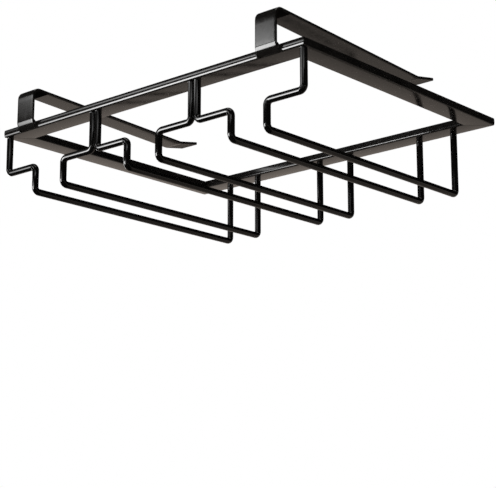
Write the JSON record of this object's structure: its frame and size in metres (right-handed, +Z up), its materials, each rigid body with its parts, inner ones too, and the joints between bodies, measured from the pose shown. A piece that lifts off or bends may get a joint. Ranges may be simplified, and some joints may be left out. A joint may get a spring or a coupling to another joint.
{
  "type": "hanging wine glass rack",
  "caption": "Welded black steel rack that slides onto a shelf board and holds stemmed glasses upside down by their feet, between pairs of bent wire rails under a flat bar frame.",
  "frame": {"origin": "middle of the front bar's top face, which lies under the shelf board", "axes": "+X to the right along the front bar, +Y back under the board, +Z up"},
  "size_m": [0.34, 0.2603, 0.0937],
  "materials": {
    "frame_paint": "smooth gloss black paint on flat steel bar",
    "hanger_paint": "smooth satin black paint on bent steel strip",
    "wire_paint": "smooth gloss black paint on round steel wire"
  },
  "bodies": {
    "root": {"frame_front_bar": "frame_paint", "frame_right_bar": "frame_paint", "frame_rear_bar": "frame_paint", "frame_left_bar": "frame_paint", "left_hanger": "hanger_paint", "right_hanger": "hanger_paint", "left_slot_left_rail": "wire_paint", "left_slot_right_rail": "wire_paint", "middle_slot_left_rail": "wire_paint", "middle_slot_right_rail": "wire_paint", "right_slot_left_rail": "wire_paint", "right_slot_right_rail": "wire_paint"}
  },
  "joints": []
}
